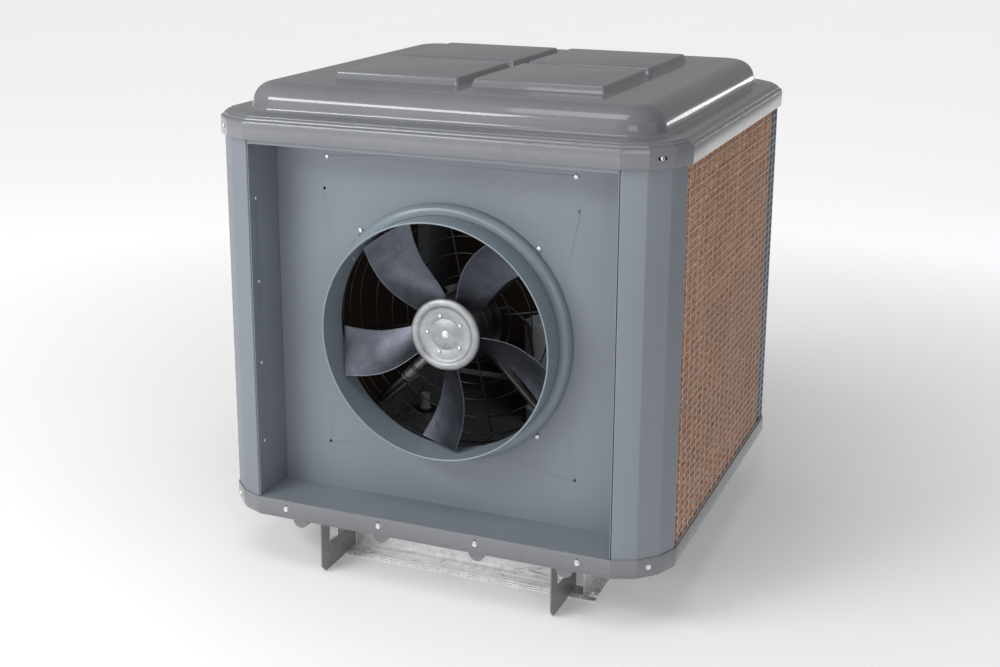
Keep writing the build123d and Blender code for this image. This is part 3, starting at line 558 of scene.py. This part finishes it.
post_piece("corner_post_front_right", False, 1, 1)
post_piece("corner_post_front_left", False, -1, 1)
post_piece("corner_post_rear_right", True, 1, -1)
post_piece("corner_post_rear_left", True, -1, -1)

# ------------------------------------------------------------------ recess and cradle

for node in ("recess_floor", "recess_ceiling", "recess_left_wall", "recess_right_wall", "fan_panel"):
    refine(node, PAINT, 0.5)
for node in ("cradle_front_beam", "cradle_rear_beam", "cradle_left_rail", "cradle_right_rail"):
    refine(node, GALVANISED, 0.5)
# Ribs along the beams' flanges
ribs = Build()
for s in (-1, 1):
    for depth in (370.0, 405.0, 415.0):
        profile = arc(depth, 2.9, 2.0, 0, 180, 8)
        ribs.loft([[(x, s * y, z) for y, z in profile] for x in (-338.0, 338.0)], True, True)
ribs.piece("cradle_flange_ribs", GALVANISED, "cabinet", slot="galvanised", angle=60)
for end in ("front", "rear"):
    for hand in ("left", "right"):
        refine(f"bracket_{end}_{hand}", PLATE, 0.5)

# ------------------------------------------------------------------ fan ring, hub and blades

RING_IN, RING_OUT = 284.5, 287.0
PANEL_Y = -442.0
BEAD_R, BEAD_OUT = 17.0, 313.0
ring = Build()
section = [(RING_IN, PANEL_Y + 1.6), (RING_IN, -531.0)]
section += arc(RING_IN + 0.4, -533.4, 2.4, 180, 410, 10)
section += [(RING_OUT, -530.0), (RING_OUT, -462.6), (287.9, -463.7), (290.0, -464.0)]
section += arc(BEAD_OUT - BEAD_R, PANEL_Y - 5.0, BEAD_R, -90, 0, 12)
section += [(BEAD_OUT, PANEL_Y - 0.1), (RING_OUT, PANEL_Y - 0.1), (RING_OUT, PANEL_Y + 1.6)]
ring.lathe(section, 160)
ring.piece("outlet_ring_sheet", RING_PAINT, "cabinet", nodes=("outlet_ring",), slot="grey_paint", angle=35)

hub = Build()
hub.lathe(
    [
        (0.01, -458.5), (36.8, -458.5), (37.4, -458.1), (38.6, -458.1), (39.2, -458.5), (60.0, -458.5),
        (64.0, -458.9), (66.8, -460.6), (69.0, -463.4), (71.6, -465.4), (75.0, -466.0), (80.0, -465.7),
        (84.4, -463.8), (87.0, -461.0), (88.0, -458.2), (88.0, -456.4), (87.2, -455.2), (85.5, -455.0),
        (0.01, -455.0),
    ],
    128,
)
hub.piece("hub_cover_casting", HUB_METAL, "fan", nodes=("hub_cover",), slot="cast_aluminium", angle=40)

rotor = Build()
rotor.lathe(
    [
        (10.1, -454.9), (74.5, -454.9), (77.2, -454.0), (78.0, -451.5), (78.0, -392.0), (76.5, -390.5),
        (76.5, -388.5), (78.0, -387.0), (78.0, -354.0), (77.0, -352.2), (75.4, -352.0), (65.0, -352.0),
        (64.0, -353.0), (64.0, -442.0), (63.0, -443.0), (10.1, -443.0),
    ],
    96,
)
rotor.piece("motor_rotor_cup", MOTOR_BLACK, "fan", nodes=("motor_rotor",), slot="black_paint", angle=35)

# Radius, lead in degrees, chord, pitch in degrees, depth and camber
STATIONS = (
    (66, 3, 72, 48, -424, 5),
    (130, 6, 95, 40, -434, 7),
    (180, 6, 108, 34, -446, 8),
    (230, 3, 118, 29, -457, 8),
    (285, -1, 126, 26, -467, 8),
)
BLADE_ROOT, BLADE_TIP = 78.2, 277.0


def station(radius):
    """Cubic interpolation of the blade's stations at a radius."""
    n = len(STATIONS)
    k = max(i for i in range(n - 1) if STATIONS[i][0] <= radius)
    rows = [STATIONS[max(0, min(n - 1, k + d))] for d in (-1, 0, 1, 2)]
    t = (radius - rows[1][0]) / (rows[2][0] - rows[1][0])
    out = []
    for p0, p1, p2, p3 in zip(*(r[1:] for r in rows)):
        m1, m2 = (p2 - p0) / 2, (p3 - p1) / 2
        out.append(
            (2 * t**3 - 3 * t**2 + 1) * p1 + (t**3 - 2 * t**2 + t) * m1
            + (-2 * t**3 + 3 * t**2) * p2 + (t**3 - t**2) * m2
        )
    return out


def blade_loop(radius, around_steps=22):
    """A blade's section, bent round the cylinder of its radius."""
    lead, chord, pitch, depth, camber = station(radius)
    lead, pitch = math.radians(lead), math.radians(pitch)
    along = Vector((math.cos(pitch), math.sin(pitch)))
    across = Vector((-along.y, along.x))
    middle = Vector((radius * math.sin(lead), -depth))
    top, bottom = [], []
    for k in range(around_steps + 1):
        s = -math.cos(math.pi * k / around_steps)
        thick = 0.9 + 1.5 * (1 - s * s) ** 0.6
        if k in (0, around_steps):
            thick = 0.35
        base = middle + along * (s * chord / 2) - across * camber * (1 - s * s)
        top.append(base + across * thick)
        bottom.append(base - across * thick)
    return [(math.sqrt(max(radius * radius - p.x * p.x, 1.0)), -p.y, p.x) for p in top + bottom[::-1]]


FIRST_BLADE, BLADE_STEPS = 51.5, 26
for k in range(5):
    radii = [BLADE_ROOT + (BLADE_TIP - BLADE_ROOT) * i / BLADE_STEPS for i in range(BLADE_STEPS + 1)]
    blade = Build()
    blade.loft([blade_loop(r) for r in radii], True, True)
    turn = math.radians(FIRST_BLADE + 72 * k)
    c, s = math.cos(turn), math.sin(turn)
    blade.verts = [(x * c - z * s, y, FAN_Z + x * s + z * c) for x, y, z in blade.verts]
    name = f"fan_blade_{k + 1}"
    blade.piece(f"{name}_cast", BLADE, "fan", nodes=(name,), slot="blade_cast", angle=60)

# ------------------------------------------------------------------ guard, bracket and motor

WIRE_R = 2.0
HOOPS = [(radius, -320.0) for radius in (52, 110, 165, 207, 252, 296)] + [(299, -370.0), (299, -405.0)]
guard = Build()
for radius, depth in HOOPS:
    guard.tube([on_fan(radius, depth, math.pi * i / 48) for i in range(96)], WIRE_R, 8, True)
rod = rounded([(50, -317.0), (302, -317.0), (302, -440.0)], 14.0, 8)
for k in range(8):
    guard.tube([on_fan(r, depth, math.radians(12 - 45 * k)) for r, depth in rod], WIRE_R, 8)
guard.piece("inlet_guard_wire", BLACK, "cabinet", nodes=("inlet_guard",), slot="black_paint", angle=60)

refine("motor_bracket", BLACK, 0.8)
SLEEVE_Y, SLEEVE_R = -347.0, 12.5


def along_strut(r):
    """A point on the axis of the lower left strut, r from the fan's axis."""
    return on_fan(r, SLEEVE_Y, math.radians(225))


sleeve, bands = Build(), Build()
sleeve.tube([along_strut(r) for r in (130, 131, 225, 226)], SLEEVE_R, 28)
for r in (182, 189, 219):
    bands.tube([along_strut(r - 1.6), along_strut(r + 1.6)], SLEEVE_R + 0.7, 28)
sleeve.piece("strut_sleeve", STRUT_ZINC, "cabinet", slot="zinc", angle=40)
bands.piece("strut_bands", BLACK, "cabinet", slot="black_paint", angle=40)
stator = Build()
stator.lathe(
    [
        (0.01, -451.9), (9.0, -451.9), (10.0, -451.0), (10.0, -438.0), (54.0, -438.0), (55.0, -437.0),
        (55.0, -347.0), (56.5, -346.0), (72.5, -346.0), (74.0, -344.8), (74.0, -339.2), (72.8, -338.0),
        (9.5, -338.0), (8.0, -336.5), (8.0, -321.0), (7.0, -320.0), (0.01, -320.0),
    ],
    72,
)
stator.piece(
    "motor_stator_body", MOTOR_BLACK, "cabinet", nodes=("motor_stator",), slot="black_paint", angle=35
)

# ------------------------------------------------------------------ fasteners


# Head shapes: (share of the radius, share of the height)
WASHER = ((1.0, 0.0), (1.0, 0.22), (0.93, 0.32))
HEX = ((0.78, 0.34), (0.78, 0.86), (0.7176, 1.0), (0.429, 0.93))
PAN = ((1.0, 0.0), (1.0, 0.25), (0.95, 0.5), (0.84, 0.74), (0.66, 0.92), (0.42, 1.0), (0.3, 0.72))
HEAD_ANGLES = [2 * math.pi * i / 24 for i in range(24)]


def head_place(origin, normal, spin):
    """Matrix at a millimetre origin, with Z along normal and turned about it."""
    facing = Vector(normal).to_track_quat("Z", "Y").to_matrix().to_4x4()
    return Matrix.Translation(Vector(origin)) @ facing @ Matrix.Rotation(spin, 4, "Z")


def head(build, place, radius, height, kind):
    """A fastener head: 'hex' on a washer face, or 'pan'."""

    def round_at(r, z):
        return [tuple(place @ Vector((r * math.cos(a), r * math.sin(a), z))) for a in HEAD_ANGLES]

    def hex_at(r, z):
        out = []
        for a in HEAD_ANGLES:
            reach = r / math.cos(a % (math.pi / 3) - math.pi / 6)
            out.append(tuple(place @ Vector((reach * math.cos(a), reach * math.sin(a), z))))
        return out

    loops = [round_at(radius * r, height * z) for r, z in (WASHER if kind == "hex" else PAN)]
    if kind == "hex":
        loops += [hex_at(radius * r, height * z) for r, z in HEX]
    build.loft(loops, True, True)


def cross_recess(build, place, radius, height):
    """A dark cross in a pan head."""
    a, b = radius * 0.45, radius * 0.09
    bar = ((-a, -b), (a, -b), (a, b), (-a, b))
    for turn in (0.0, math.pi / 2):
        part = place @ Matrix.Rotation(turn, 4, "Z")
        levels = (height * 0.7, height * 1.005)
        build.loft([[tuple(part @ Vector((x, y, z))) for x, y in bar] for z in levels], True, True)


def fasteners(name, places, radius, height, kind, body, node, cross=False):
    """One node's heads, each turned differently, with a cross in them if asked."""
    build, dark = Build(), Build()
    for k, (origin, normal) in enumerate(places):
        head(build, head_place(origin, normal, 0.7 * k), radius, height, kind)
        if cross:
            cross_recess(dark, head_place(origin, normal, 0.3 + 0.9 * k), radius, height)
    build.piece(name, ZINC, body, nodes=(node,), slot="zinc", angle=35)
    if cross:
        dark.piece(f"{name}_recesses", DARK, body, slot="zinc")


def facet_place(inset, turn, z):
    """The middle of a corner's central facet and its outward direction."""
    (ax, ay), (bx, by) = corner_points(inset)[1:3]
    spin = Matrix.Rotation(math.radians(turn), 3, "Z")
    return tuple(spin @ Vector(((ax + bx) / 2, (ay + by) / 2, z))), tuple(spin @ Vector((1, -1, 0)))


BOLT_Z, BOLT_X = 174.0, (-377.0, -125.5, 125.5, 377.0)
rim = [((x, y, BOLT_Z), (0, y, 0)) for y in (-HALF, HALF) for x in BOLT_X]
rim += [facet_place(0, turn, BOLT_Z) for turn in CORNERS]
fasteners("rim_bolt_heads", rim, 6.5, 4.5, "hex", "cabinet", "rim_bolts")
CAP_SCREWS = [facet_place(-6, turn, 1109.0) for turn in CORNERS]
fasteners("cap_screw_heads", CAP_SCREWS, 5.0, 3.0, "pan", "cabinet", "cap_screws", True)
wall = [((s * 451.0, -542.0, z), (-s, 0, 0)) for s in (-1, 1) for z in (332.0, 533.0, 737.0, 941.0)]
fasteners("recess_wall_screw_heads", wall, 4.5, 2.6, "pan", "cabinet", "recess_wall_screws", True)
FORWARD = (0, -1, 0)
panel = [((x, PANEL_Y, FAN_Z + z), FORWARD) for x in (-227, 227) for z in (-227, 227)]
panel += [((x, PANEL_Y, 1035.0), FORWARD) for x in (-313, 313)]
fasteners("fan_panel_screw_heads", panel, 6.0, 3.5, "pan", "cabinet", "fan_panel_screws")
HUB_FACE, HUB_SCREW_R = -458.5, 46.0
hub_places = [(on_fan(HUB_SCREW_R, HUB_FACE, math.radians(34 + 72 * k)), FORWARD) for k in range(5)]
fasteners("hub_screw_heads", hub_places, 4.5, 4.0, "pan", "fan", "hub_screws")
centre = Build()
centre.lathe(
    [
        (0.01, -458.4), (9.0, -458.4), (9.0, -459.6), (8.2, -460.2), (6.0, -460.4), (5.8, -463.0),
        (4.2, -464.3), (2.0, -464.5), (0.01, -464.5),
    ],
    48,
)
centre.piece("hub_centre_screw", ZINC, "fan", nodes=("hub_centre_cap",), slot="zinc", angle=35)
feet = [((x, y, 6.0), (0, 0, 1)) for x in (-355.0, 355.0) for y in (-391.0, 391.0)]
fasteners("cradle_bolt_heads", feet, 6.5, 5.0, "hex", "cabinet", "cradle_bolts")
refine("outlet_ring_rivets", ZINC, 0.3)

# Small dark slots above the rim bolts and round the cap's corner screws
SLOT_OUTLINE = ((-1, 181), (1, 181), (1, 187), (-1, 187))
slots = Build()
for x in BOLT_X:
    for s in (-1, 1):
        levels = (s * (HALF - 0.6), s * (HALF + 0.15))
        slots.loft([[(x + dx, y, z) for dx, z in SLOT_OUTLINE] for y in levels], True, True)
upward = Vector((0, 0, 1))
screw_slot = arc(7, 0, 4.2, -90, 90, 8) + arc(-7, 0, 4.2, 90, 270, 8)
for origin, normal in CAP_SCREWS:
    out = Vector(normal).normalized()
    level = out.cross(upward)
    for_depth = [Vector(origin) + out * depth for depth in (-0.8, 0.12)]
    slots.loft([[tuple(p + level * a + upward * b) for a, b in screw_slot] for p in for_depth], True, True)
slots.piece("fastener_slots", DARK, "cabinet", slot="grey_moulding")

# ------------------------------------------------------------------ wet pads and mesh

SHEET_PITCH, WAVE = 7.0, 14.0
FLUTE_DEPTH, HALF_SHEET = 18.0, 0.35
PAD_LOW, PAD_HIGH = 195.2, 1080.0
PAD_FACE, PAD_THICK = 566.0, 88.0
BOX_FACES = [(0, 1, 3, 2), (4, 6, 7, 5), (0, 4, 5, 1), (2, 3, 7, 6), (0, 2, 6, 4), (1, 5, 7, 3)]


def fluted_pad(name, turn, start, finish):
    """A pad: a solid core painted near black as painted shade of the dark interior, and, on its outer face,
    the edges of stacked fluted sheets.
    """
    build = Build()
    sheets = int((finish - start) / SHEET_PITCH)
    first = (start + finish) / 2 - (sheets - 1) * SHEET_PITCH / 2
    steps = int((PAD_HIGH - PAD_LOW) / (WAVE / 4))
    for j in range(sheets):
        centre_y = first + j * SHEET_PITCH
        flip = 1 if j % 2 else -1
        rise = math.tan(math.radians(45 if j % 2 else -15))
        columns = [[], [], [], []]
        edges = (
            (PAD_FACE - FLUTE_DEPTH, FLUTE_DEPTH * rise, -1),
            (PAD_FACE - 0.2, 0.0, -1),
            (PAD_FACE - 0.2, 0.0, 1),
            (PAD_FACE - FLUTE_DEPTH, FLUTE_DEPTH * rise, 1),
        )
        for k in range(steps + 1):
            z = PAD_LOW + (PAD_HIGH - PAD_LOW) * k / steps
            for column, (x, lift, side) in zip(columns, edges):
                wave = flip * (SHEET_PITCH / 2 - 0.2) * math.sin(2 * math.pi * (z - lift) / WAVE + 0.4)
                column.append((x, centre_y + wave + side * HALF_SHEET, z))
        verts = [p for column in columns for p in column]
        n = steps + 1
        faces = []
        for c in range(3):
            for k in range(steps):
                faces.append((c * n + k, (c + 1) * n + k, (c + 1) * n + k + 1, c * n + k + 1))
        build.add(verts, faces)
    depths = (PAD_FACE - PAD_THICK, PAD_FACE - FLUTE_DEPTH)
    core = Build()
    core.add([(x, y, z) for x in depths for y in (start, finish) for z in (PAD_LOW, PAD_HIGH)], BOX_FACES)
    spin = Matrix.Rotation(math.radians(turn), 3, "Z")
    for part in (core, build):
        part.verts = [tuple(spin @ Vector(p)) for p in part.verts]
    # The core carries the near-black painted shade of the interior
    core.piece(f"{name}_core", PAD_CORE_PAINTED_SHADE, "cabinet", slot="pad_paper", bevel=1.0)
    build.piece(f"{name}_fluted", PAD, "cabinet", nodes=(name,), slot="pad_paper", angle=80)


fluted_pad("wet_pad_right", 0, -450.0, 404.0)
fluted_pad("wet_pad_rear", 90, -404.0, 404.0)
fluted_pad("wet_pad_left", 180, -404.0, 450.0)
for side in ("right", "rear", "left"):
    refine(f"pad_mesh_{side}", WIRE, 0)
    refine(f"pad_tray_{side}", GALVANISED, 0.3)

# ------------------------------------------------------------------ wiring and water parts

for node, material, edge in (
    ("control_box", GREY_PLASTIC, 1.0),
    ("cable_gland", BLACK_PLASTIC, 0.6),
    ("motor_cable", RUBBER, 0),
    ("pump_body", GREY_PLASTIC, 1.5),
    ("pump_impeller", BLACK_PLASTIC, 0.5),
    ("riser_pipe", GREY_PLASTIC, 0),
    ("water_manifold", GREY_PLASTIC, 0),
    ("float_valve_body", WHITE_PLASTIC, 0.5),
    ("float_valve_piston", BRASS, 0.3),
    ("float_arm", BRASS, 0.2),
    ("float_ball", WHITE_PLASTIC, 0),
    ("drain_body", BLACK_PLASTIC, 0.6),
    ("standpipe", GREY_PLASTIC, 0.5),
):
    refine(node, material, edge)

# ------------------------------------------------------------------ stage, light and camera


FLOOR_HALF, FLOOR_Z = 30.0, -0.001
PER_METRE = 0.2  # the floor's gradients run over 5 m


def stage_plane(name, s, z, material):
    """A square of half width s that belongs to the stage."""
    mesh = bpy.data.meshes.new(name)
    mesh.from_pydata([(-s, -s, z), (s, -s, z), (s, s, z), (-s, s, z)], [], [(0, 1, 2, 3)])
    mesh.materials.append(material)
    obj = bpy.data.objects.new(name, mesh)
    bpy.context.scene.collection.objects.link(obj)


# The floor glows a little, more so far behind the unit and less to its right
floor_mat = Nodes("pale_floor", Roughness=0.9, Specular_IOR_Level=0.1)
floor_mat.colour(floor_mat.ramp(floor_mat.noise(0.8, 2.0), (0.3, 0.84), (0.7, 0.86)))
glow = floor_mat.add("ShaderNodeTexGradient", gradient_type="SPHERICAL")
floor_mat.link(floor_mat.scaled(PER_METRE, PER_METRE, PER_METRE), glow.inputs["Vector"])
near_far = floor_mat.ramp(glow.outputs["Fac"], (0.3, 0.6), (0.85, 0.16))
across = floor_mat.add("ShaderNodeTexGradient", gradient_type="LINEAR")
floor_mat.link(floor_mat.scaled(PER_METRE, 1.0, 1.0), across.inputs["Vector"])
open_side = floor_mat.ramp(across.outputs["Fac"], (0.25, 1.0), (0.42, 0.1))
floor_mat.link(floor_mat.mix(1.0, near_far, open_side, "MULTIPLY"), floor_mat.shader.inputs["Emission Color"])
floor_mat.shader.inputs["Emission Strength"].default_value = 1.0
stage_plane("floor", FLOOR_HALF, FLOOR_Z, floor_mat.mat)

world = bpy.data.worlds.new("studio")
world.use_nodes = True
background = world.node_tree.nodes["Background"]
background.inputs["Color"].default_value = (1.0, 1.0, 1.0, 1.0)
background.inputs["Strength"].default_value = 0.30
bpy.context.scene.world = world


def area_light(name, location, target, width, height, power):
    """A rectangular light in metres and watts that faces a target."""
    data = bpy.data.lights.new(name, "AREA")
    data.shape = "RECTANGLE"
    data.size = width
    data.size_y = height
    data.energy = power
    obj = bpy.data.objects.new(name, data)
    obj.location = location
    obj.rotation_mode = "QUATERNION"
    obj.rotation_quaternion = (Vector(target) - Vector(location)).to_track_quat("-Z", "Y")
    bpy.context.scene.collection.objects.link(obj)
    return obj


area_light("key", (-2.5, -3.5, 3.1), (0, 0, 0.7), 2.6, 0.8, 92)
area_light("strip", (-1.6, -4.25, 1.6), (0, 0, 1.1), 3.0, 0.4, 55)
area_light("front_right", (3.2, -4.2, 1.6), (0, 0, 0.6), 2.0, 2.0, 34)
area_light("top_front", (0, -2.2, 4.2), (0, 0, 0.8), 2.4, 1.6, 42)
area_light("right", (4.6, -0.3, 1.6), (0, 0, 0.6), 2.2, 2.2, 9)
area_light("rear_line", (1.8, 4.2, 1.0), (0, 0, 1.1), 1.2, 0.10, 1.6)
inside = area_light("inside", (0.34, -0.05, 1.0), (-0.05, 0.36, 0.35), 0.25, 0.25, 0.9)
inside.visible_camera = False

scene = bpy.context.scene
scene.view_settings.view_transform = "Standard"
scene.view_settings.look = "None"

# The camera's place in metres, and its turn to the left, tilt down and roll in radians
CAMERA = Vector((1.3582, -3.4599, 1.6777))
YAW, PITCH, ROLL = 0.3862, 0.2513, 0.0047
camera_data = bpy.data.cameras.new("camera")
camera_data.sensor_width = 36.0
camera_data.lens = 52.795
camera_data.shift_y = -0.08
camera = bpy.data.objects.new("camera", camera_data)
scene.collection.objects.link(camera)
forward = Vector((-math.sin(YAW) * math.cos(PITCH), math.cos(YAW) * math.cos(PITCH), -math.sin(PITCH)))
right = Vector((math.cos(YAW), math.sin(YAW), 0.0))
up = right.cross(forward)
turn = Matrix((right, up, -forward)).transposed() @ Matrix.Rotation(ROLL, 3, "Z")
camera.matrix_world = Matrix.Translation(CAMERA) @ turn.to_4x4()
scene.camera = camera

bpy.context.view_layer.update()
